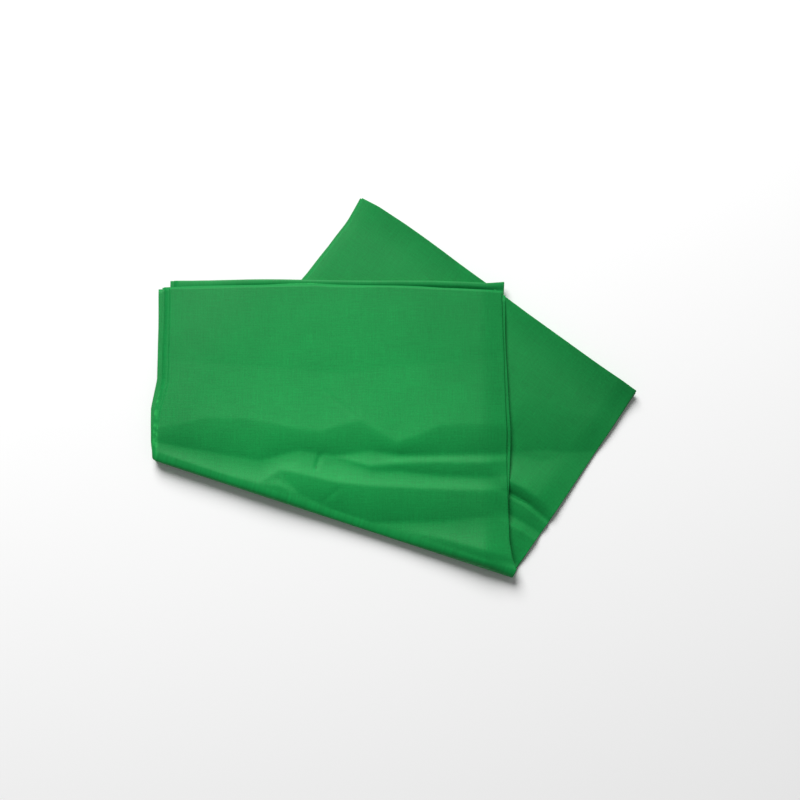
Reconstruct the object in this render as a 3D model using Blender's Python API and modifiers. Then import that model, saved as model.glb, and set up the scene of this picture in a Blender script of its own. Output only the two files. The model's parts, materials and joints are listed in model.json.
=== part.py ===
"""A chroma-green studio backdrop cloth, folded flat into a packet and folded over once more, obliquely.

The cloth is folded in half twice across its width and twice along its length, which makes a packet sixteen
layers deep. The packet lies flat and is then folded over itself, along a line that is a little off square.

Frame: +Z up, +X along the flap's free edge, origin under the middle of the folded packet. The rear half is
at the bottom, from its far end to the oblique fold. The flap lies over it, from the fold to its free edge.
A place across the packet is given by u, its distance from the flap's left side.
"""

import math

import bmesh
import bpy
from mathutils import Vector

CLOTH_WIDTH = 1.524
CLOTH_LENGTH = 2.134
CLOTH_THICKNESS = 0.0003
LAYER_PITCH = 0.0006
CREASE_GAP = 0.0003

FOLD_ANGLE = math.radians(18.0)
FLAP_LEFT_LENGTH = 0.182
FRONT_LEAF_SETBACK = 0.008
RAW_EDGE_SETBACK = 0.003

LAYERS_PER_LEAF = 4
LEAVES = 4
LAYERS = LAYERS_PER_LEAF * LEAVES
PACKET_WIDTH = CLOTH_WIDTH / LAYERS_PER_LEAF
PACKET_LENGTH = CLOTH_LENGTH / LEAVES
FOLD_HEIGHT = (LAYERS - 0.5) * LAYER_PITCH + CLOTH_THICKNESS / 2

SIDE_CREASE_STEPS = 6
END_CREASE_STEPS = 10
OBLIQUE_FOLD_STEPS = 14

GREEN = (0.022, 0.292, 0.076, 1.0)
SHADED_GREEN = (0.014, 0.205, 0.052, 1.0)
CLOTH_ROUGHNESS = 0.8

FOLD_OUTWARD = Vector((-math.sin(FOLD_ANGLE), -math.cos(FOLD_ANGLE), 0))
FLAP_DIRECTION = Vector((0, 1, 0))
REAR_DIRECTION = Vector((math.sin(2 * FOLD_ANGLE), math.cos(2 * FOLD_ANGLE), 0))
FLAP_ACROSS = Vector((1, 0, 0))
UP = Vector((0, 0, 1))


def clear_scene():
    for obj in list(bpy.data.objects):
        bpy.data.objects.remove(obj, do_unlink=True)


def new_collection(name):
    collection = bpy.data.collections.new(name)
    bpy.context.scene.collection.children.link(collection)
    return collection


def cloth_material(name, colour):
    material = bpy.data.materials.new(name)
    material.use_nodes = True
    surface = material.node_tree.nodes["Principled BSDF"]
    surface.inputs["Base Color"].default_value = colour
    surface.inputs["Roughness"].default_value = CLOTH_ROUGHNESS
    surface.inputs["Metallic"].default_value = 0.0
    return material


def strip_of_cloth(name, starts, ends, collection, colour):
    """A strip swept from one bent line to another: an open surface of flat faces, as thick as the cloth."""
    shape = bmesh.new()
    line = [shape.verts.new(point) for point in starts]
    edges = [shape.edges.new(pair) for pair in zip(line, line[1:])]
    bmesh.ops.extrude_edge_only(shape, edges=edges)
    for vertex, end in zip(line, ends):
        neighbours = [edge.other_vert(vertex) for edge in vertex.link_edges]
        swept = next(neighbour for neighbour in neighbours if neighbour not in line)
        swept.co = end
    mesh = bpy.data.meshes.new(name)
    shape.to_mesh(mesh)
    shape.free()
    mesh.shade_smooth()
    mesh.materials.append(cloth_material(name, colour))
    strip = bpy.data.objects.new(name, mesh)
    collection.objects.link(strip)
    thickness = strip.modifiers.new("cloth_thickness", "SOLIDIFY")
    thickness.thickness = CLOTH_THICKNESS
    thickness.offset = 0.0
    thickness.use_even_offset = True
    return strip


def half_turn(radius, steps):
    """Points of a half circle, as (outward, upward) pairs, from below its centre to above it."""
    angles = [math.pi * step / steps for step in range(steps + 1)]
    return [(radius * math.sin(angle), -radius * math.cos(angle)) for angle in angles]


def leaf_section():
    """The four layers of one leaf, seen end on: (u, level) points from one raw edge to the other.

    Levels are counted in layers from the leaf's outer face. The raw edges lie on the left, beside the small
    crease. The two nested creases on the right share a centre.
    """
    right = PACKET_WIDTH - 1.5 * LAYER_PITCH
    left = 0.5 * LAYER_PITCH
    outer_crease = half_turn(1.5, SIDE_CREASE_STEPS)
    small_crease = half_turn(0.5, SIDE_CREASE_STEPS)
    points = [(RAW_EDGE_SETBACK, 0.0)]
    points += [(right + out * LAYER_PITCH, 1.5 + rise) for out, rise in outer_crease]
    points += [(left - out * LAYER_PITCH, 2.5 - rise) for out, rise in small_crease]
    points += [(right + out * LAYER_PITCH, 1.5 - rise) for out, rise in small_crease]
    points += [(RAW_EDGE_SETBACK, 1.0)]
    return points


def layer_of(leaf, level):
    """The layer, counted from the bottom of the rear half, at a level within a leaf.

    Leaves 0 and 2 lie face down. Leaves 1 and 3 are turned over, as the length is folded to and fro.
    """
    base = leaf * LAYERS_PER_LEAF
    return base + level if leaf % 2 == 0 else base + LAYERS_PER_LEAF - 1 - level


def rear_height(layer):
    """The height of the middle of a layer's cloth in the rear half, which lies on the table."""
    return layer * LAYER_PITCH + CLOTH_THICKNESS / 2


def flap_height(layer):
    """The same layer's height in the flap, which the oblique fold turns upside down."""
    return 2 * FOLD_HEIGHT - rear_height(layer)


def fold_point(u):
    """The place on the oblique fold at u, on the table, before the packet is centred on the origin."""
    return u * FLAP_ACROSS - u * math.tan(FOLD_ANGLE) * FLAP_DIRECTION


def flap_length(u):
    return FLAP_LEFT_LENGTH + u * math.tan(FOLD_ANGLE)


def rear_length(u):
    return PACKET_LENGTH - flap_length(u)


def half_gap_along(direction):
    """How far a panel stops short of the oblique fold's centre line, along its own length."""
    return 0.5 * CREASE_GAP / abs(direction.dot(FOLD_OUTWARD))


def packet_centre():
    """The middle of the folded packet's outline on the table."""
    corners = [fold_point(u) + REAR_DIRECTION * rear_length(u) for u in (0, PACKET_WIDTH)]
    corners += [fold_point(u) + FLAP_DIRECTION * flap_length(u) for u in (0, PACKET_WIDTH)]
    bulge = FOLD_OUTWARD * FOLD_HEIGHT
    corners += [fold_point(u) + bulge for u in (0, PACKET_WIDTH)]
    xs = [corner.x for corner in corners]
    ys = [corner.y for corner in corners]
    return Vector(((min(xs) + max(xs)) / 2, (min(ys) + max(ys)) / 2, 0))


def far_end_radius():
    """The outermost crease's radius at the rear half's far end."""
    return 0.5 * (LAYERS - 1) * LAYER_PITCH


def flap_end_radius():
    """The outermost crease's radius at the flap's free end, where only the two back leaves are joined."""
    return 0.5 * (2 * LAYERS_PER_LEAF - 1) * LAYER_PITCH


def rear_leaf(leaf, centre, collection):
    starts, ends = [], []
    near = half_gap_along(REAR_DIRECTION)
    far = far_end_radius() + 0.5 * (CLOTH_THICKNESS + CREASE_GAP)
    for u, level in leaf_section():
        base = fold_point(u) - centre + UP * rear_height(layer_of(leaf, level))
        starts.append(base + REAR_DIRECTION * near)
        ends.append(base + REAR_DIRECTION * (rear_length(u) - far))
    return strip_of_cloth(f"rear_leaf_{leaf + 1}", starts, ends, collection, SHADED_GREEN)


def flap_leaf(leaf, centre, collection):
    starts, ends = [], []
    near = half_gap_along(FLAP_DIRECTION)
    joined_at_the_end = leaf >= LEAVES // 2
    end_crease = flap_end_radius() + 0.5 * (CLOTH_THICKNESS + CREASE_GAP)
    far = end_crease if joined_at_the_end else FRONT_LEAF_SETBACK
    for u, level in leaf_section():
        base = fold_point(u) - centre + UP * flap_height(layer_of(leaf, level))
        starts.append(base + FLAP_DIRECTION * near)
        ends.append(base + FLAP_DIRECTION * (flap_length(u) - far))
    return strip_of_cloth(f"flap_leaf_{leaf + 1}", starts, ends, collection, GREEN)


def crease(name, axis_start, axis_end, outward, radius, steps, collection, colour):
    """One layer turning back on itself: a half-round strip about the straight axis between two points."""
    turn = half_turn(radius, steps)
    starts = [axis_start + outward * out + UP * rise for out, rise in turn]
    ends = [axis_end + outward * out + UP * rise for out, rise in turn]
    return strip_of_cloth(name, starts, ends, collection, colour)


def panel_sides():
    """The u of a panel's two sides, where its side creases begin."""
    side = 1.5 * LAYER_PITCH
    return side, PACKET_WIDTH - side


def far_end_creases(centre, collection):
    height = (rear_height(0) + rear_height(LAYERS - 1)) / 2
    axis = [
        fold_point(u) - centre + REAR_DIRECTION * (rear_length(u) - far_end_radius()) + UP * height
        for u in panel_sides()
    ]
    for nested in range(LAYERS // 2):
        radius = far_end_radius() - nested * LAYER_PITCH
        name = f"far_end_crease_{nested + 1}"
        crease(name, *axis, REAR_DIRECTION, radius, END_CREASE_STEPS, collection, SHADED_GREEN)


def flap_end_creases(centre, collection):
    height = (flap_height(LAYERS - 1) + flap_height(LAYERS // 2)) / 2
    axis = [
        fold_point(u) - centre + FLAP_DIRECTION * (flap_length(u) - flap_end_radius()) + UP * height
        for u in panel_sides()
    ]
    for nested in range(LAYERS_PER_LEAF):
        radius = flap_end_radius() - nested * LAYER_PITCH
        name = f"flap_end_crease_{nested + 1}"
        crease(name, *axis, FLAP_DIRECTION, radius, END_CREASE_STEPS, collection, GREEN)


def oblique_fold(centre, collection):
    axis = [fold_point(u) - centre + UP * FOLD_HEIGHT for u in panel_sides()]
    for layer in range(LAYERS):
        radius = FOLD_HEIGHT - rear_height(layer)
        name = f"oblique_fold_layer_{layer + 1:02d}"
        crease(name, *axis, FOLD_OUTWARD, radius, OBLIQUE_FOLD_STEPS, collection, GREEN)


def main():
    clear_scene()
    collection = new_collection("folded_backdrop_cloth")
    centre = packet_centre()
    for leaf in range(LEAVES):
        rear_leaf(leaf, centre, collection)
        flap_leaf(leaf, centre, collection)
    far_end_creases(centre, collection)
    flap_end_creases(centre, collection)
    oblique_fold(centre, collection)


main()
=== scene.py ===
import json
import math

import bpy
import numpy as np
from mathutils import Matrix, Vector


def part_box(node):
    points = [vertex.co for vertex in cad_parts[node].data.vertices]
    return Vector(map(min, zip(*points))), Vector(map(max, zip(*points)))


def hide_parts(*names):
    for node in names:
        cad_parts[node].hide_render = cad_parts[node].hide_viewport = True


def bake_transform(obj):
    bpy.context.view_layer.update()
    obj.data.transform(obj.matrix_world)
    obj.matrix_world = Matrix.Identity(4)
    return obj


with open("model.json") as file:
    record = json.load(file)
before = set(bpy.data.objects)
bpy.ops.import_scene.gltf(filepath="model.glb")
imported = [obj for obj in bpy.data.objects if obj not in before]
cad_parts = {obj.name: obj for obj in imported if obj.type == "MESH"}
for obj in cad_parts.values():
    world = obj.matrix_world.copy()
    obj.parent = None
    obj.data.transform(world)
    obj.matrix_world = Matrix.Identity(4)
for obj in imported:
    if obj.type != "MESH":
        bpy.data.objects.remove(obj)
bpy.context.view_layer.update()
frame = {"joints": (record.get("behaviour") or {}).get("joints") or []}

# A chroma-green backdrop cloth, folded flat into a packet of sixteen layers and folded over once more,
# obliquely. Each layer is one piece of the cloth, cut where the cloth is creased. It runs from the middle of
# its crease at the rear half's far end, along the rear half, round the oblique fold and along the flap.
# Neighbouring layers meet edge to edge in the middle of the creases that join them.
#
# A place on a layer is given by u, across the packet from its left side, and by its distance from the
# oblique fold: d along the flap and s along the rear half. A level counts layers from the bottom of the rear
# half. The whole cloth's own coordinates, cloth_u across and cloth_v along it, carry the weave from layer to
# layer.

MM = 0.001
CLOTH_WIDTH = 1.524
CLOTH_LENGTH = 2.134
CLOTH_THICKNESS = 0.3 * MM
LAYER_PITCH = 0.6 * MM
LAYERS_PER_LEAF = 4
LEAVES = 4
LAYERS = LAYERS_PER_LEAF * LEAVES
PANEL_WIDTH = CLOTH_WIDTH / LAYERS_PER_LEAF
PANEL_LENGTH = CLOTH_LENGTH / LEAVES

# Folding order. From a leaf's outer face inwards lie these panels of the cloth's width, and from the bottom
# of the rear half upwards lie these quarters of its length. The two innermost panels of a leaf are joined on
# its left. The back leaves, 2 and 3, are joined at the flap's end.
PANEL_AT_PLACE = (0, 3, 2, 1)
QUARTER_OF_LEAF = (0, 3, 2, 1)
FIRST_JOINED_PLACE = 2
FIRST_BACK_LEAF = 2

JOINT = frame["joints"][0]
FOLD_MIDDLE = np.array(JOINT["pos_m"])
FOLD_AXIS = np.array(JOINT["axis"])
FOLD_HEIGHT = FOLD_MIDDLE[2]
FOLD_OUTWARD = np.array((FOLD_AXIS[1], -FOLD_AXIS[0]))
FOLD_FALL = -FOLD_AXIS[1] / FOLD_AXIS[0]
REAR_ALONG = np.array((-2 * FOLD_AXIS[0] * FOLD_AXIS[1], FOLD_AXIS[0] ** 2 - FOLD_AXIS[1] ** 2))
REAR_LEFTWARD = np.array((-REAR_ALONG[1], REAR_ALONG[0]))
LEFT_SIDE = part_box("flap_leaf_1")[0].x + CLOTH_THICKNESS / 2
FREE_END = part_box("flap_end_crease_1")[1].y - CLOTH_THICKNESS / 2
# From the fold's axis up to the middle of the flap's outermost layer.
FLAP_THICKNESS = FOLD_HEIGHT - CLOTH_THICKNESS / 2

# Radii of the outermost creases, in layers: on a leaf's right and left, and at the packet's far and free
# ends.
RIGHT_RADIUS = (LAYERS_PER_LEAF - 1) / 2
LEFT_RADIUS = 0.5
FAR_RADIUS = (LAYERS - 1) / 2
FREE_RADIUS = LAYERS_PER_LEAF - 0.5
# The levels of the middles of the nested creases at the two ends.
FAR_MIDDLE = FAR_RADIUS
FREE_MIDDLE = LAYERS - 1 - FREE_RADIUS
# The creases at the ends are pressed together: this is how far one reaches out for each layer of its radius.
CREASE_REACH = 0.3 * LAYER_PITCH
RAW_EDGE_SETBACK = 3 * MM

# The top layers of the flap and of the rear half have a fine mesh. The others, inside the packet, lie a
# little lower.
FINE_LAYERS = (0, LAYERS - 1)
FINE_STEP = 2.25 * MM
COARSE_STEP = 6.6 * MM
COARSE_CLEARANCE = 0.45 * MM
FINE_FOLD_STEPS = 30
COARSE_FOLD_STEPS = 10
CREASE_STEPS = 4
# Closer rows near the ends: at these distances from the far end, and in the back leaves' last stretch.
RIM_ROWS = np.array((0, 0.5, 1.2)) * MM
LAST_STRETCH = 14 * MM
LAST_STRETCH_STEPS = 9

# Relief of the flap's top, in millimetres: lines that run across the packet from left to right, each a list
# of (u, d, height) points. Heights are measured from the flap's flat upper part, and blend from line to line.
FLAP_RELIEF = (
    ((0, 182, 0), (381, 306, 0)),
    # The upper part is slightly dished.
    ((0, 100, -1.6), (200, 150, -2.8), (381, 228, -1.8)),
    # The lower edge of the upper part.
    ((0, 26, 0), (25, 38, 0), (54, 54, 0), (94, 66, 0), (153, 74, 0), (176, 79, 0), (196, 92, 0),
     (218, 104, 0), (239, 98, 0), (257, 94, 0), (281, 110, 0), (303, 127, 0), (350, 143, 0), (381, 152, 0)),
    # The bottom of the first hollow.
    ((0, 11, -2.6), (26, 14, -3.8), (68, 20, -5.0), (111, 27, -5.6), (132, 40, -5.4), (153, 51, -3.8),
     (191, 58, -5.0), (228, 75, -4.2), (260, 81, -4.0), (302, 95, -4.8), (350, 112, -4.6), (381, 122, -3.8)),
    # A narrow ridge, on the right half only, and the hollow below it.
    ((0, 10, -2.6), (26, 13, -3.8), (68, 19, -5.0), (111, 26, -5.6), (132, 39, -5.4), (153, 50, -3.8),
     (191, 57, -4.8), (228, 60, -1.8), (260, 73, -1.6), (302, 88, -2.4), (350, 103, -2.0), (381, 116, -1.6)),
    ((0, 9, -2.6), (26, 12, -3.8), (68, 18, -5.0), (111, 25, -5.6), (132, 38, -5.4), (153, 49, -3.8),
     (191, 56, -4.8), (228, 54, -2.6), (260, 64, -3.6), (302, 73, -5.0), (350, 87, -4.6), (381, 99, -4.0)),
    # A broad ridge, and the last and widest hollow, above the fold.
    ((0, 1, -1.6), (68, 0, -1.8), (111, 3, -0.8), (132, 24, -2.4), (153, 27, 0.8), (191, 30, 1.6),
     (228, 38, 1.6), (260, 47, 0.8), (302, 59, -0.4), (350, 73, -1.0), (381, 84, -1.2)),
    ((0, 0.5, -1.6), (68, -0.5, -1.8), (111, 2.5, -0.7), (132, 20, -2.0), (153, 6, -1.6), (191, -1, -5.0),
     (228, -1, -5.7), (260, 10, -5.8), (302, 24, -5.3), (350, 45, -3.6), (381, 54, -3.2)),
    # The crest of the fold.
    ((0, 0, -1.6), (68, -1, -1.8), (111, 2, -0.6), (132, 7, -0.3), (153, 5, -1.8), (191, -2, -5.0),
     (228, -2, -5.7), (260, 1, -5.5), (302, 7, -2.6), (350, 10, 2.8), (381, 10, 3.4)),
    ((0, -9, -1.8), (111, -9, -2.2), (153, -9, -3.2), (191, -9, -5.2), (260, -9, -5.6), (302, -9, -4.8),
     (350, -9, -3.0), (381, -9, -3.0)),
)

# Relief of the rear half's top beside the flap, as (u, s, height) points, from the far end towards the fold.
# The flap's lowest layer rests on it. It fades in from left to right, under the flap: (start, width).
REAR_RELIEF = (
    ((0, 190, 0), (381, 190, 0)),
    # A faint crease.
    ((280, 112, -4.4), (305, 123, -4.4), (340, 137, -4.4), (381, 155, -3.4)),
    # The upper edge of a deep hollow.
    ((280, 92, 2.2), (322, 92, 3.0), (342, 89, 2.8), (358, 84, 2.0), (381, 73, 0.6)),
    # A thin ridge in the hollow, and the hollow's two bottoms.
    ((280, 78, -1.6), (331, 79, -3.0), (354, 74, -3.2), (381, 63, -3.2)),
    ((280, 75, -0.8), (331, 75.5, -1.2), (354, 70, -1.4), (381, 59.5, -1.6)),
    ((280, 58, -2.6), (331, 61, -4.4), (356, 54, -4.6), (381, 48, -4.2)),
    ((280, 44, -0.6), (340, 47, -1.0), (362, 43, -1.2), (381, 38, -1.4)),
    ((280, 8, -3.8), (381, 7, -4.6)),
    ((280, 0, 0), (381, 0, 0)),
)
REAR_RELIEF_FADE = (270 * MM, 30 * MM)

# Small sharp creases in the flap, in millimetres: where each starts and ends, its depth and its half width.
# Each runs out over a share of its length at both ends.
FLAP_CREASES = (
    ((176, 57), (170, 34), 1.5, 3.0),
    ((217, 104), (172, 128), 0.25, 3.0),
    ((128, 16), (146, 3), 0.4, 2.5),
    ((199, 28), (176, 2), 0.5, 2.5),
)
CREASE_RUN_OUT = 0.2

# Soft dents all over the packet, as (depth, size), on lattices of so many points a side.
DENTS = ((0.5 * MM, 85 * MM), (0.22 * MM, 26 * MM))
LATTICE = 64

# The rear half sinks under the flap's weight: (rise, length from the fold).
SETTLING = (-1.3 * MM, 70 * MM)
# At the far end the top layer leans out by this much, and the bottom one in by as much.
FAR_END_LEAN = 2.4 * MM
# The far end stands puffed up, by these heights at its left and right sides.
FAR_END_PUFF = (3.36 * MM, 5.88 * MM)
FAR_END_PUFF_LENGTH = 38 * MM
# The back leaves stand puffed up at their joined end. The puff rises this many times as steeply as it would
# to be full only at the very end. It grows to the right: so much of its growth is done at the left side, and
# the whole of it takes this width.
FREE_END_PUFF = 4.2 * MM
FREE_END_PUFF_LENGTH = 9.5 * MM
FREE_END_PUFF_STEEPNESS = 1.5
FREE_END_PUFF_START = 0.2
FREE_END_PUFF_WIDTH = 250 * MM
# They also sink towards that end, and leave a gap of these heights at its left and right sides.
LEAF_GAP = (0.3 * MM, 1.2 * MM)
LEAF_GAP_LENGTH = 40 * MM
# The packet is pressed flatter along its sides: (share of its thickness lost, width).
LEFT_PRESS = (0.22, 28 * MM)
REAR_RIGHT_PRESS = (0.28, 28 * MM)
FLAP_RIGHT_PRESS = (0.45, 36 * MM)
# The share of its thickness that the packet keeps in its deepest hollows.
THINNEST = 0.35
# The flap's left corner lies beyond the rear half, and sags.
CORNER_SAG = 6.6 * MM
CORNER_SAG_WIDTH = 120 * MM

# How far the fold's left and right ends drift to the right, halfway round.
FOLD_DRIFT = (3 * MM, -1.2 * MM)
# How round the fold is at its left and right ends, from 1 for a half circle down to 0 for a box.
FOLD_ROUNDNESS = (0.4, 1.0)

# How far the packet's sides are pulled out of square, in millimetres to the right: (distance from the fold,
# pull). The flap's and the rear half's agree at the fold.
FLAP_LEFT_PULL = ((0, -4), (8, -5.5), (45, -6.2), (78, -1.2), (120, -2.4), (182, -3.5))
FLAP_RIGHT_PULL = ((0, 1.2), (10, -3), (28, -6), (145, -6.5), (205, -9), (290, -11), (306, -10))
REAR_LEFT_PULL = ((0, -4), (30, 0.5), (200, 8), (250, 12), (320, 13), (352, 9))
REAR_RIGHT_PULL = ((0, 1.2), (20, 1.2), (40, 0.5), (100, 0), (150, -1.5), (228, -3))
# How far the ends reach past square, in millimetres: (u, reach). The far end's inner creases and each further
# front leaf stop shorter.
FAR_REACH = ((0, 0.2), (25, 3), (60, 3.5), (230, 2.4), (330, 3.6), (381, 5))
BACK_REACH = ((0, 9.8), (130, 7.6), (300, 3.5), (345, 0.8), (362, -0.5), (381, 1.5))
FRONT_REACH = ((0, -1), (170, -1), (330, -7.5), (381, -10))
FAR_INNER_SETBACK = 1.5 * MM
FRONT_LEAF_SETBACK = 4 * MM
# How the lines of the sides and ends wander: (seed of the first line, reach, length of the longest wave).
# Waves a half, a third and a quarter as long are added to it, each lower in the same measure, and all of
# them together reach about 1.6 times as far as the longest.
SIDE_WANDER = (10, 0.9 * MM, 0.31)
FAR_WANDER = (30, 0.7 * MM, 0.42)
BACK_WANDER = (32, 0.6 * MM, 0.37)
FRONT_WANDER = (33, 0.9 * MM, 0.33)
WAVES = 4
WAVES_TOGETHER = 1.6

# Where single sides and edges of the cloth stray from the rest of the stack: (line, from v, to v, pull).
# Lines count the cloth's four folds across its width, from raw edge 0 to raw edge 4. Odd ones lie on the
# right.
STRAYS = (
    (0, -0.2, 0.10, 9 * MM),
    (4, -0.2, 0.09, 4 * MM),
    (2, -0.2, 0.08, 3.5 * MM),
    (4, 0.11, 0.19, -2.6 * MM),
    (0, 0.13, 0.16, -1.0 * MM),
    (0, 0.9 * CLOTH_LENGTH / 2, 1.1 * CLOTH_LENGTH / 2, 13 * MM),
    (2, 0.9 * CLOTH_LENGTH / 2, 1.1 * CLOTH_LENGTH / 2, 13 * MM),
    (4, 0.9 * CLOTH_LENGTH / 2, 1.1 * CLOTH_LENGTH / 2, 13 * MM),
    (1, CLOTH_LENGTH / 2 - 0.16, CLOTH_LENGTH / 2 + 0.16, 2.6 * MM),
    (3, CLOTH_LENGTH / 2 - 0.16, CLOTH_LENGTH / 2 + 0.16, 2.6 * MM),
    (1, CLOTH_LENGTH - 0.15, CLOTH_LENGTH + 0.2, 4 * MM),
    (3, CLOTH_LENGTH - 0.13, CLOTH_LENGTH + 0.2, 3 * MM),
)
STRAY_FADE = 0.10

# The cloth's look. A scale is in waves to a metre of cloth, and a shade says how much its pattern adds to the
# lightness of the dye.
LINEAR_GREEN = (0.003, 0.278, 0.055)
THREAD_PITCH = 0.4 * MM
SLUB_SCALE = 900
SLUB_STRETCH = 0.05
GRAIN_SCALE = 520
BLOTCH_SCALE = 26
DARKEST_SHADE = 0.40
GRAIN_SHADE = 0.40
SLUB_SHADE = 0.30
BLOTCH_SHADE = 0.20
WEAVE_SHADE = 0.06
SMOOTHEST = 0.45
GRAIN_ROUGHNESS = 0.20
SPECULAR = 0.20
SHEEN = 0.03
SHEEN_ROUGHNESS = 0.45
SHEEN_TINT = (0.55, 0.95, 0.6, 1)
BUMP_STRENGTH = 0.5
BUMP_DEPTH = 0.12 * MM
WEAVE_HEIGHT = 0.35
GRAIN_HEIGHT = 1.2
# A pool of light is painted on the middle of the outermost panel: its place on the cloth, and how far the
# painted light reaches. The rest of the cloth is painted darker, to this shade.
PAINTED_LIGHT_PLACE = (0.19, 0.14, 0)
PAINTED_LIGHT_REACH = (0.07, 0.19)
PAINTED_LIGHT_OUTER_SHADE = 0.82
# Painted shade: one corner of the rear half is painted darker, standing in for shade there.
PAINTED_SHADE_PLACE = (0.40, 0.545, 0)
PAINTED_SHADE_REACH = (0, 0.2)
PAINTED_SHADE_LEVEL = 0.8
# Its raw edges are paler, more so in patches. Those at its ends are narrower than those along its sides.
RAW_EDGE_GREEN = (0.03, 0.48, 0.10)
RAW_EDGE_WIDTH = 3 * MM
RAW_END_WIDTH = 1.2 * MM
RAW_EDGE_PALENESS = (0.15, 0.75)
RAW_EDGE_PATCHES = 130
RAW_EDGE_PATCH_RANGE = (0.42, 0.62)

FLOOR_SIZE = 12
FLOOR_COLOUR = (0.9, 0.9, 0.9, 1)
FLOOR_ROUGHNESS = 0.9
WORLD_COLOUR = (1, 1, 1, 1)
WORLD_STRENGTH = 0.20
KEY_SIZE = 2.7
KEY_POWER = 236
KEY_PLACE = (-0.95, 2.85, 2.60)
CAMERA_SENSOR = 36
CAMERA_LENS = 54
CAMERA_PLACE = (0.004, -0.199, 1.288)
CAMERA_TILT = math.radians(8)


def ease(share):
    """0 to 1, with level ends."""
    share = np.clip(share, 0, 1)
    return share * share * (3 - 2 * share)


def between(ends, share):
    """The value that lies this share of the way from the first of two ends to the second."""
    return ends[0] * (1 - share) + ends[1] * share


def profile(points, distance):
    """The value at a distance, in metres, of a list of (millimetres, millimetres) points."""
    places, values = np.array(points, float).T * MM
    return np.interp(distance, places, values)


def line_at(line, u):
    """The distance and the height of one of a relief's lines."""
    line_u, line_distance, line_height = np.array(line, float).T * MM
    return np.interp(u, line_u, line_distance), np.interp(u, line_u, line_height)


def relief(lines, u, distance):
    """Height of a relief that goes from each of its lines to the next.

    Each slope steepens on its way towards the fold. One that rises starts out level.
    """
    places = [line_at(line, u) for line in lines]
    total = places[0][1]
    for (last, last_height), (here, height) in zip(places, places[1:]):
        share = np.clip((last - distance) / (last - here), 0, 1)
        shape = np.where(height < last_height, share * (1 + 2 * share) / 3, share * share)
        total = total + (height - last_height) * shape
    return total


def wander(wandering, line, along):
    """How far one line of sides or ends wanders aside, at places along it."""
    first_seed, reach, length = wandering
    random = np.random.default_rng(first_seed + line)
    total = np.zeros_like(along)
    for wave in range(1, WAVES + 1):
        phase = random.uniform(0, 2 * math.pi)
        total += np.sin(2 * math.pi * wave * along / length + phase) / wave
    return total * reach / WAVES_TOGETHER


def unevenness(seed, x, y, size):
    """Smooth noise from 0 to 1 over the plane, with bumps of about the given size."""
    random = np.random.default_rng(seed)
    lattice = random.uniform(0, 1, (LATTICE, LATTICE))
    column, row = x / size + LATTICE / 2, y / size + LATTICE / 2
    left, low = np.floor(column).astype(int), np.floor(row).astype(int)
    along, up = ease(column - left), ease(row - low)
    left, low = left % (LATTICE - 1), low % (LATTICE - 1)
    bottom = between((lattice[low, left], lattice[low, left + 1]), along)
    top = between((lattice[low + 1, left], lattice[low + 1, left + 1]), along)
    return between((bottom, top), up)


def ripples(x, y):
    """Soft dents all over the packet, never above its flat top."""
    return -sum(depth * unevenness(seed, x, y, size) for seed, (depth, size) in enumerate(DENTS, 1))


def fold_y(x):
    """Where the oblique fold's axis lies, seen from above."""
    return FOLD_MIDDLE[1] - FOLD_FALL * (x - FOLD_MIDDLE[0])


def flap_length(u):
    return FREE_END - fold_y(LEFT_SIDE + u)


def rear_length(u):
    return PANEL_LENGTH - flap_length(u)


def height_of(level):
    return level * LAYER_PITCH + CLOTH_THICKNESS / 2


def side_press(u, right_press):
    """The share of its thickness that the packet keeps, as it is pressed flatter along its sides."""
    left = LEFT_PRESS[0] * (1 - ease(u / LEFT_PRESS[1]))
    return 1 - left - right_press[0] * (1 - ease((PANEL_WIDTH - u) / right_press[1]))


def rear_top(u, s):
    """How far the rear half's top, or the flap's underside on it, is from flat."""
    beside_flap = relief(REAR_RELIEF, u, s) * ease((u - REAR_RELIEF_FADE[0]) / REAR_RELIEF_FADE[1])
    return beside_flap + SETTLING[0] * ease(s / SETTLING[1])


def small_creases(u, d):
    """The depth of the sharp little creases."""
    depth = 0
    for start, end, deepest, half_width in FLAP_CREASES:
        start, along = np.array(start) * MM, (np.array(end) - start) * MM
        length = np.hypot(*along)
        share = ((u - start[0]) * along[0] + (d - start[1]) * along[1]) / length ** 2
        aside = ((u - start[0]) * along[1] - (d - start[1]) * along[0]) / length
        groove = np.maximum(0, 1 - np.abs(aside) / (half_width * MM))
        run_out = ease(share / CREASE_RUN_OUT) * ease((1 - share) / CREASE_RUN_OUT)
        depth = depth + deepest * MM * groove * run_out
    return depth


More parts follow.
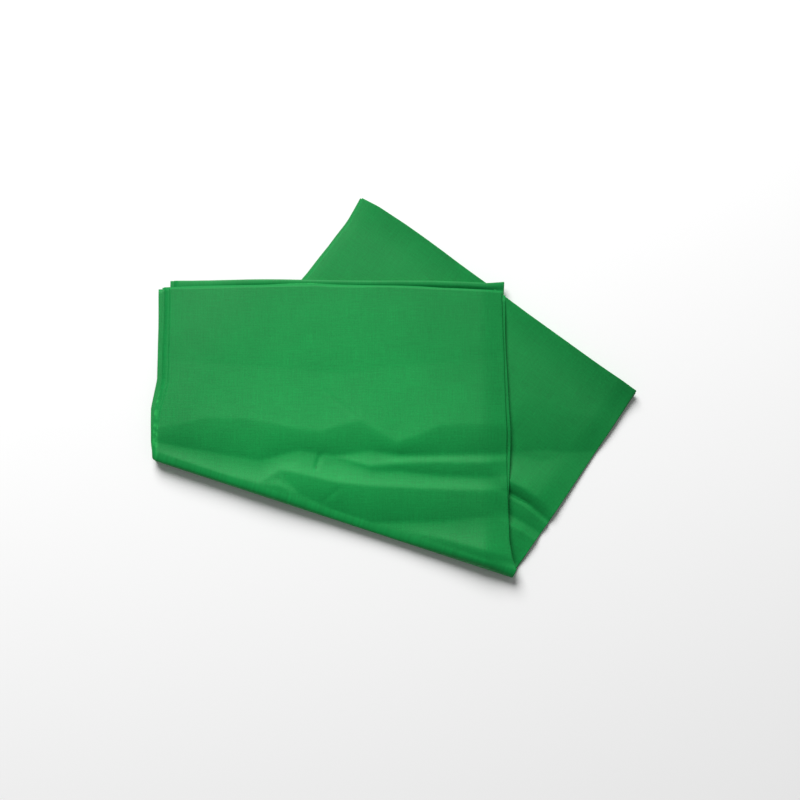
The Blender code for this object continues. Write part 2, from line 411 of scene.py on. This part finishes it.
class Layer:
    """One layer's place in the packet."""

    def __init__(self, number):
        self.number = number
        self.leaf, step = divmod(number, LAYERS_PER_LEAF)
        self.turned = self.leaf % 2 == 1
        place = LAYERS_PER_LEAF - 1 - step if self.turned else step
        self.panel = PANEL_AT_PLACE[place]
        self.quarter = QUARTER_OF_LEAF[self.leaf]
        fine = number in FINE_LAYERS
        self.step = FINE_STEP if fine else COARSE_STEP
        self.clearance = 0 if fine else COARSE_CLEARANCE
        self.fold_steps = FINE_FOLD_STEPS if fine else COARSE_FOLD_STEPS
        self.joined_on_left = place >= FIRST_JOINED_PLACE
        self.joined_at_free_end = self.leaf >= FIRST_BACK_LEAF

    def columns(self):
        """u and level of the layer's columns, from left to right, with half of each side crease."""
        base = self.leaf * LAYERS_PER_LEAF
        right_centre = base + RIGHT_RADIUS
        left_centre = base + (LEFT_RADIUS if self.turned else LAYERS_PER_LEAF - 1 - LEFT_RADIUS)
        right = PANEL_WIDTH - RIGHT_RADIUS * LAYER_PITCH
        left = LEFT_RADIUS * LAYER_PITCH if self.joined_on_left else RAW_EDGE_SETBACK
        quarter_turn = np.linspace(0, math.pi / 2, CREASE_STEPS + 1)
        panel_u = np.linspace(left, right, round(PANEL_WIDTH / self.step))
        u, level = [panel_u], [np.full_like(panel_u, self.number)]
        rise = self.number - right_centre
        u.append(right + abs(rise) * LAYER_PITCH * np.sin(quarter_turn[1:]))
        level.append(right_centre + rise * np.cos(quarter_turn[1:]))
        if self.joined_on_left:
            turn = quarter_turn[:0:-1]
            rise = self.number - left_centre
            u.insert(0, left - abs(rise) * LAYER_PITCH * np.sin(turn))
            level.insert(0, left_centre + rise * np.cos(turn))
        return np.concatenate(u), np.concatenate(level)

    def cloth_u(self, u):
        """How far across the cloth a place is."""
        across = np.clip(u, 0, PANEL_WIDTH)
        return self.panel * PANEL_WIDTH + (PANEL_WIDTH - across if self.panel % 2 else across)

    def cloth_v(self, from_far_end):
        """How far along the cloth a place is, from its distance to the rear half's far end."""
        if self.quarter % 2:
            return self.quarter * PANEL_LENGTH + from_far_end
        return (self.quarter + 1) * PANEL_LENGTH - from_far_end

    def side_pull(self, u, cloth_v, left_pull, right_pull):
        """How far a place is moved across the packet, between the wandering of the panel's two sides."""
        lines = (self.panel, self.panel + 1)
        left_line, right_line = lines if self.panel % 2 == 0 else lines[::-1]
        left = left_pull + wander(SIDE_WANDER, left_line, cloth_v)
        right = right_pull + wander(SIDE_WANDER, right_line, cloth_v)
        for line, start, end, pull in STRAYS:
            begun = ease(1 + (cloth_v - start) / STRAY_FADE)
            unfinished = ease(1 + (end - cloth_v) / STRAY_FADE)
            strayed = pull * np.minimum(begun, unfinished)
            left = left + (strayed if line == left_line else 0)
            right = right + (strayed if line == right_line else 0)
        return between((left, right), u / PANEL_WIDTH)


def rear_rows(layer, u, level):
    """Where the rear half ends, and s and level of its rows, after half of the crease at the far end."""
    # The first of the cloth's folds across joins quarters 0 and 1 there, and the third joins 2 and 3.
    end_line = 1 if layer.quarter in (0, 1) else 3
    reach = profile(FAR_REACH, u) + wander(FAR_WANDER, end_line, layer.cloth_u(u))
    reach = reach - (FAR_INNER_SETBACK if end_line == 3 else 0)
    end = rear_length(u) + reach - FAR_RADIUS * CREASE_REACH
    turn = np.linspace(math.pi / 2, 0, CREASE_STEPS + 1)[:-1, None]
    crease_s = end + np.abs(level - FAR_MIDDLE) * CREASE_REACH * np.sin(turn)
    crease_level = FAR_MIDDLE + (level - FAR_MIDDLE) * np.cos(turn)
    rim_s = end - RIM_ROWS[:, None]
    rows = round(rear_length(PANEL_WIDTH / 2) / layer.step)
    panel_s = (end - 2 * RIM_ROWS[-1]) * np.linspace(1, 0, rows)[:, None]
    panel_level = np.repeat(level[None, :], len(rim_s) + rows, 0)
    s = np.concatenate((crease_s, rim_s, panel_s))
    levels = np.concatenate((crease_level, panel_level))
    return end, s + FAR_END_LEAN * (levels / FAR_MIDDLE - 1) * s / end, levels


def rear_block(layer, u, level):
    """The rear half, from the far end towards the fold."""
    end, s, levels = rear_rows(layer, u, level)
    u = np.repeat(u[None, :], len(s), 0)
    cloth_v = layer.cloth_v(np.clip(rear_length(u) - s, 0, PANEL_LENGTH))
    u = u + layer.side_pull(u, cloth_v, profile(REAR_LEFT_PULL, s), profile(REAR_RIGHT_PULL, s))
    x = LEFT_SIDE + u
    y = fold_y(x) + REAR_ALONG[1] * s
    x = x + REAR_ALONG[0] * s
    nearness = np.clip(1 - (end + FAR_END_LEAN - s) / FAR_END_PUFF_LENGTH, 0, 1)
    puff = between(FAR_END_PUFF, u / PANEL_WIDTH) * nearness ** 2
    top = rear_top(u, s) + puff + ripples(x, y) - layer.clearance
    fullness = np.maximum(1 + top / height_of(LAYERS - 1), THINNEST) * side_press(u, REAR_RIGHT_PRESS)
    z = height_of(levels) * fullness
    return x, y, z, np.zeros_like(z), layer.cloth_u(u), cloth_v


def fold_block(layer, u, level):
    """The half turn of the oblique fold."""
    turn = np.linspace(0, math.pi, layer.fold_steps + 1)[1:-1, None]
    radius = FOLD_HEIGHT - height_of(level)
    u = np.repeat(u[None, :], len(turn), 0)
    cloth_v = layer.cloth_v(rear_length(u))
    left_pull = profile(FLAP_LEFT_PULL, 0) + FOLD_DRIFT[0] * np.sin(turn)
    right_pull = profile(FLAP_RIGHT_PULL, 0) + FOLD_DRIFT[1] * np.sin(turn)
    u = u + layer.side_pull(u, cloth_v, left_pull, right_pull)
    x = LEFT_SIDE + u
    y = fold_y(x)
    out = radius * np.sin(turn)
    roundness = between(FOLD_ROUNDNESS, ease(u / PANEL_WIDTH))
    rise = -radius * np.sign(np.cos(turn)) * np.abs(np.cos(turn)) ** roundness
    uneven = ripples(x, y) - layer.clearance
    flap_top = relief(FLAP_RELIEF, u, 0 * u) + uneven
    flap_fullness = np.maximum(1 + flap_top / FLAP_THICKNESS, THINNEST) * side_press(u, FLAP_RIGHT_PRESS)
    rear_fullness = (1 + uneven / height_of(LAYERS - 1)) * side_press(u, REAR_RIGHT_PRESS)
    sunk = height_of(level) * (rear_fullness - 1) * np.cos(turn)
    z = FOLD_HEIGHT + np.where(rise > 0, rise * flap_fullness, rise + sunk)
    weight = np.repeat(turn / math.pi, u.shape[1], 1)
    return x + FOLD_OUTWARD[0] * out, y + FOLD_OUTWARD[1] * out, z, weight, layer.cloth_u(u), cloth_v


def back_rows(layer, u, level):
    """Where a back leaf ends, and d and level of its rows, with half of the crease that joins it there."""
    reach = profile(BACK_REACH, u) + wander(BACK_WANDER, 0, layer.cloth_u(u))
    end = flap_length(u) + reach - FREE_RADIUS * CREASE_REACH
    rows = round(flap_length(PANEL_WIDTH / 2) / layer.step)
    panel_d = (end - LAST_STRETCH) * np.linspace(0, 1, rows)[:, None]
    last_d = end - LAST_STRETCH + np.linspace(0, LAST_STRETCH, LAST_STRETCH_STEPS + 1)[1:, None]
    turn = np.linspace(0, math.pi / 2, CREASE_STEPS + 1)[1:, None]
    crease_d = end + np.abs(level - FREE_MIDDLE) * CREASE_REACH * np.sin(turn)
    crease_level = FREE_MIDDLE + (level - FREE_MIDDLE) * np.cos(turn)
    panel_level = np.repeat(level[None, :], rows + LAST_STRETCH_STEPS, 0)
    return end, np.concatenate((panel_d, last_d, crease_d)), np.concatenate((panel_level, crease_level))


def front_rows(layer, u, level):
    """Where a front leaf ends, and d and level of its rows."""
    reach = profile(FRONT_REACH, u) + wander(FRONT_WANDER, layer.leaf, layer.cloth_u(u))
    end = flap_length(u) + reach - FRONT_LEAF_SETBACK * layer.leaf
    rows = round(flap_length(PANEL_WIDTH / 2) / layer.step)
    return end, end * np.linspace(0, 1, rows)[:, None], np.repeat(level[None, :], rows, 0)


def back_leaf_lift(u, from_end):
    """How far the top of the back leaves is lifted by the puff, less the gap that they leave."""
    gap = between(LEAF_GAP, u / PANEL_WIDTH) * ease(1 - from_end / LEAF_GAP_LENGTH)
    nearness = ease(FREE_END_PUFF_STEEPNESS * (1 - from_end / FREE_END_PUFF_LENGTH))
    puff = FREE_END_PUFF * nearness * ease(FREE_END_PUFF_START + u / FREE_END_PUFF_WIDTH)
    return puff - gap


def flap_block(layer, u, level):
    """The flap, from the fold to its free end."""
    rows_of = back_rows if layer.joined_at_free_end else front_rows
    end, d, levels = rows_of(layer, u, level)
    u = np.repeat(u[None, :], len(d), 0)
    cloth_v = layer.cloth_v(np.clip(rear_length(u) + d, 0, PANEL_LENGTH))
    u = u + layer.side_pull(u, cloth_v, profile(FLAP_LEFT_PULL, d), profile(FLAP_RIGHT_PULL, d))
    x = LEFT_SIDE + u
    y = fold_y(x) + d
    base = rear_top(u - REAR_ALONG[0] * d, d)
    top = relief(FLAP_RELIEF, u, d) + ripples(x, y) - small_creases(u, d) - layer.clearance
    fullness = np.maximum(1 + (top - base) / FLAP_THICKNESS, THINNEST) * side_press(u, FLAP_RIGHT_PRESS)
    z = FOLD_HEIGHT + base + (FOLD_HEIGHT - height_of(levels)) * fullness
    if layer.joined_at_free_end:
        back_leaves = 2 * LAYERS_PER_LEAF * LAYER_PITCH
        z = z + back_leaf_lift(u, end - d) * (z - FOLD_HEIGHT) / back_leaves
    beyond = (x - LEFT_SIDE) * REAR_LEFTWARD[0] + (y - fold_y(LEFT_SIDE)) * REAR_LEFTWARD[1]
    z = z - CORNER_SAG * ease(beyond / CORNER_SAG_WIDTH)
    return x, y, z, np.ones_like(z), layer.cloth_u(u), cloth_v


def lay_weave(mesh, cloth_u, cloth_v):
    """Gives each point of the mesh its place on the whole cloth."""
    weave = mesh.uv_layers.new(name="cloth")
    corners = np.zeros(len(mesh.loops), int)
    mesh.loops.foreach_get("vertex_index", corners)
    places = np.stack((cloth_u.ravel(), cloth_v.ravel()), 1)[corners]
    weave.uv.foreach_set("vector", places.ravel().astype(np.float32))


def cloth_piece(layer, material):
    """The layer's piece, and how far round the fold each of its points lies, from 0 to 1."""
    u, level = layer.columns()
    blocks = [make(layer, u, level) for make in (rear_block, fold_block, flap_block)]
    x, y, z, weight, cloth_u, cloth_v = (np.concatenate(parts) for parts in zip(*blocks))
    rows, columns = x.shape
    corner = (np.arange(rows - 1)[:, None] * columns + np.arange(columns - 1)).ravel()
    faces = np.stack((corner, corner + 1, corner + columns + 1, corner + columns), 1)
    name = f"cloth_layer_{layer.number + 1:02d}"
    mesh = bpy.data.meshes.new(name)
    mesh.from_pydata(np.stack((x, y, z), -1).reshape(-1, 3).tolist(), [], faces.tolist())
    lay_weave(mesh, cloth_u, cloth_v)
    mesh.shade_smooth()
    mesh.materials.append(material)
    piece = bpy.data.objects.new(name, mesh)
    bpy.context.scene.collection.objects.link(piece)
    thickness = piece.modifiers.new("cloth_thickness", "SOLIDIFY")
    thickness.thickness = CLOTH_THICKNESS
    thickness.offset = 0
    return piece, weight.ravel()


def replaced_nodes(layer):
    """The CAD nodes that a layer stands for, whole or in part."""
    nodes = [f"rear_leaf_{layer.leaf + 1}", f"flap_leaf_{layer.leaf + 1}"]
    nodes.append(f"oblique_fold_layer_{layer.number + 1:02d}")
    nodes.append(f"far_end_crease_{min(layer.number, LAYERS - 1 - layer.number) + 1}")
    if layer.joined_at_free_end:
        first = FIRST_BACK_LEAF * LAYERS_PER_LEAF
        nodes.append(f"flap_end_crease_{min(layer.number - first, LAYERS - 1 - layer.number) + 1}")
    return nodes


def join_to_frame(piece, layer):
    """Hides the CAD nodes that the layer stands for, and bakes the piece's transform into its mesh."""
    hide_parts(*replaced_nodes(layer))
    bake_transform(piece)


class Nodes:
    """A short way to build a material's node tree."""

    def __init__(self, material):
        material.use_nodes = True
        self.tree = material.node_tree
        self.surface = self.tree.nodes["Principled BSDF"]

    def add(self, kind, **settings):
        node = self.tree.nodes.new(kind)
        for name, value in settings.items():
            setattr(node, name, value)
        return node

    def feed(self, socket, value):
        if isinstance(value, bpy.types.NodeSocket):
            self.tree.links.new(value, socket)
        else:
            socket.default_value = value

    def math(self, operation, *values):
        node = self.add("ShaderNodeMath", operation=operation)
        for socket, value in zip(node.inputs, values):
            self.feed(socket, value)
        return node.outputs[0]

    def noise(self, vector, scale, detail, stretch=(1, 1, 1)):
        mapping = self.add("ShaderNodeMapping")
        self.feed(mapping.inputs["Vector"], vector)
        mapping.inputs["Scale"].default_value = stretch
        noise = self.add("ShaderNodeTexNoise")
        self.feed(noise.inputs["Vector"], mapping.outputs[0])
        noise.inputs["Scale"].default_value = scale
        noise.inputs["Detail"].default_value = detail
        return noise.outputs["Fac"]

    def ramp(self, value, start_and_end, results):
        """Goes smoothly from the first result to the second as the value goes from start to end."""
        node = self.add("ShaderNodeMapRange", interpolation_type="SMOOTHSTEP")
        for socket, number in zip(node.inputs, (value, *start_and_end, *results)):
            self.feed(socket, number)
        return node.outputs[0]

    def mix_colour(self, blend, share, first, second):
        """Mixes two colours, whose sockets come after the node's number and vector sockets."""
        node = self.add("ShaderNodeMix", data_type="RGBA", blend_type=blend)
        self.feed(node.inputs[0], share)
        self.feed(node.inputs[6], first)
        self.feed(node.inputs[7], second)
        return node.outputs[2]


def patch_shade(nodes, place, middle, reach, shades):
    """The shade of a round patch on the cloth: the first in its middle, and the second outside it."""
    away = nodes.add("ShaderNodeVectorMath", operation="DISTANCE")
    nodes.feed(away.inputs[0], place)
    away.inputs[1].default_value = middle
    return nodes.ramp(away.outputs["Value"], reach, shades)


def cloth_shade(nodes, place, threads, grain, weave):
    """How light the dye is: mottled, with a pool of painted light on the outermost panel and painted shade at
    one corner of the rear half.
    """
    blotches = nodes.noise(place, BLOTCH_SCALE, detail=4)
    shade = nodes.math("MULTIPLY_ADD", grain, GRAIN_SHADE, DARKEST_SHADE)
    shade = nodes.math("MULTIPLY_ADD", threads, SLUB_SHADE, shade)
    shade = nodes.math("MULTIPLY_ADD", blotches, BLOTCH_SHADE, shade)
    shade = nodes.math("MULTIPLY_ADD", weave, WEAVE_SHADE, shade)
    # Painted light: the middle of the outermost panel is painted lighter, and the rest of the cloth darker.
    painted_light = patch_shade(nodes, place, PAINTED_LIGHT_PLACE, PAINTED_LIGHT_REACH, (1, PAINTED_LIGHT_OUTER_SHADE))
    # Painted shade: one corner of the rear half is painted darker.
    painted_shade = patch_shade(nodes, place, PAINTED_SHADE_PLACE, PAINTED_SHADE_REACH, (PAINTED_SHADE_LEVEL, 1))
    return nodes.math("MULTIPLY", nodes.math("MULTIPLY", shade, painted_light), painted_shade)


def raw_edge_share(nodes, place, across, along):
    """How much paler the cloth is: most on its cut edges, here and there, where the threads are loose."""
    from_sides = nodes.math("MINIMUM", across, nodes.math("SUBTRACT", CLOTH_WIDTH, across))
    from_ends = nodes.math("MINIMUM", along, nodes.math("SUBTRACT", CLOTH_LENGTH, along))
    from_ends = nodes.math("MULTIPLY", from_ends, RAW_EDGE_WIDTH / RAW_END_WIDTH)
    nearest = nodes.math("MINIMUM", nodes.math("ABSOLUTE", from_sides), nodes.math("ABSOLUTE", from_ends))
    patches = nodes.noise(place, RAW_EDGE_PATCHES, detail=2)
    frayed = nodes.ramp(patches, RAW_EDGE_PATCH_RANGE, RAW_EDGE_PALENESS)
    return nodes.math("MULTIPLY", frayed, nodes.ramp(nearest, (0, RAW_EDGE_WIDTH), (1, 0)))


def cloth_bump(nodes, threads, grain, weave):
    """The surface's fine unevenness, as a normal."""
    height = nodes.math("MULTIPLY_ADD", weave, WEAVE_HEIGHT, nodes.math("MULTIPLY", grain, GRAIN_HEIGHT))
    bump = nodes.add("ShaderNodeBump")
    bump.inputs["Strength"].default_value = BUMP_STRENGTH
    bump.inputs["Distance"].default_value = BUMP_DEPTH
    nodes.feed(bump.inputs["Height"], nodes.math("ADD", height, threads))
    return bump.outputs[0]


def cloth_material():
    """A thin plain-woven cloth: fine threads, slubs along both of their directions, and mottled dye."""
    material = bpy.data.materials.new("chroma_green_cloth")
    nodes = Nodes(material)
    place = nodes.add("ShaderNodeUVMap", uv_map="cloth").outputs[0]
    split = nodes.add("ShaderNodeSeparateXYZ")
    nodes.feed(split.inputs[0], place)
    across, along = split.outputs[0], split.outputs[1]
    turns_per_metre = 2 * math.pi / THREAD_PITCH
    warp = nodes.math("SINE", nodes.math("MULTIPLY", across, turns_per_metre))
    weft = nodes.math("SINE", nodes.math("MULTIPLY", along, turns_per_metre))
    weave = nodes.math("MULTIPLY", warp, weft)
    warp_slubs = nodes.noise(place, SLUB_SCALE, detail=2, stretch=(1, SLUB_STRETCH, 1))
    weft_slubs = nodes.noise(place, SLUB_SCALE, detail=2, stretch=(SLUB_STRETCH, 1, 1))
    threads = nodes.math("ADD", warp_slubs, weft_slubs)
    grain = nodes.noise(place, GRAIN_SCALE, detail=3)
    shade = cloth_shade(nodes, place, threads, grain, weave)
    grey = nodes.add("ShaderNodeCombineColor")
    for socket in grey.inputs:
        nodes.feed(socket, shade)
    colour = nodes.mix_colour("MULTIPLY", 1.0, (*LINEAR_GREEN, 1), grey.outputs[0])
    edge = raw_edge_share(nodes, place, across, along)
    colour = nodes.mix_colour("MIX", edge, colour, (*RAW_EDGE_GREEN, 1))
    inputs = nodes.surface.inputs
    nodes.feed(inputs["Base Color"], colour)
    nodes.feed(inputs["Roughness"], nodes.math("MULTIPLY_ADD", grain, GRAIN_ROUGHNESS, SMOOTHEST))
    nodes.feed(inputs["Normal"], cloth_bump(nodes, threads, grain, weave))
    inputs["Specular IOR Level"].default_value = SPECULAR
    inputs["Sheen Weight"].default_value = SHEEN
    inputs["Sheen Roughness"].default_value = SHEEN_ROUGHNESS
    inputs["Sheen Tint"].default_value = SHEEN_TINT
    return material


def build_cloth():
    material = cloth_material()
    for number in range(LAYERS):
        layer = Layer(number)
        piece, weight = cloth_piece(layer, material)
        join_to_frame(piece, layer)


def build_floor():
    material = bpy.data.materials.new("pale_floor")
    nodes = Nodes(material)
    nodes.surface.inputs["Base Color"].default_value = FLOOR_COLOUR
    nodes.surface.inputs["Roughness"].default_value = FLOOR_ROUGHNESS
    bpy.ops.mesh.primitive_plane_add(size=FLOOR_SIZE, location=(0, 0, 0))
    floor = bpy.context.object
    floor.name = "floor"
    floor.data.materials.append(material)


def build_key_light():
    """A large soft lamp beyond the free end, aimed at the origin."""
    data = bpy.data.lights.new("key", "AREA")
    data.shape = "DISK"
    data.size = KEY_SIZE
    data.energy = KEY_POWER
    light = bpy.data.objects.new("key", data)
    bpy.context.scene.collection.objects.link(light)
    light.location = KEY_PLACE
    x, y, z = KEY_PLACE
    light.rotation_euler = (math.atan2(math.hypot(x, y), z), 0, math.atan2(-y, -x) - math.pi / 2)
    light.visible_camera = False


def build_world():
    world = bpy.data.worlds.new("studio")
    bpy.context.scene.world = world
    world.use_nodes = True
    background = world.node_tree.nodes["Background"]
    background.inputs["Color"].default_value = WORLD_COLOUR
    background.inputs["Strength"].default_value = WORLD_STRENGTH
    bpy.context.scene.view_settings.view_transform = "Standard"


def build_camera():
    """Almost straight above the packet, tipped a little towards its free end."""
    data = bpy.data.cameras.new("camera")
    data.sensor_width = CAMERA_SENSOR
    data.lens = CAMERA_LENS
    camera = bpy.data.objects.new("camera", data)
    bpy.context.scene.collection.objects.link(camera)
    camera.location = CAMERA_PLACE
    camera.rotation_euler = (CAMERA_TILT, 0, 0)
    bpy.context.scene.camera = camera


build_camera()
build_world()
build_key_light()
build_floor()
build_cloth()
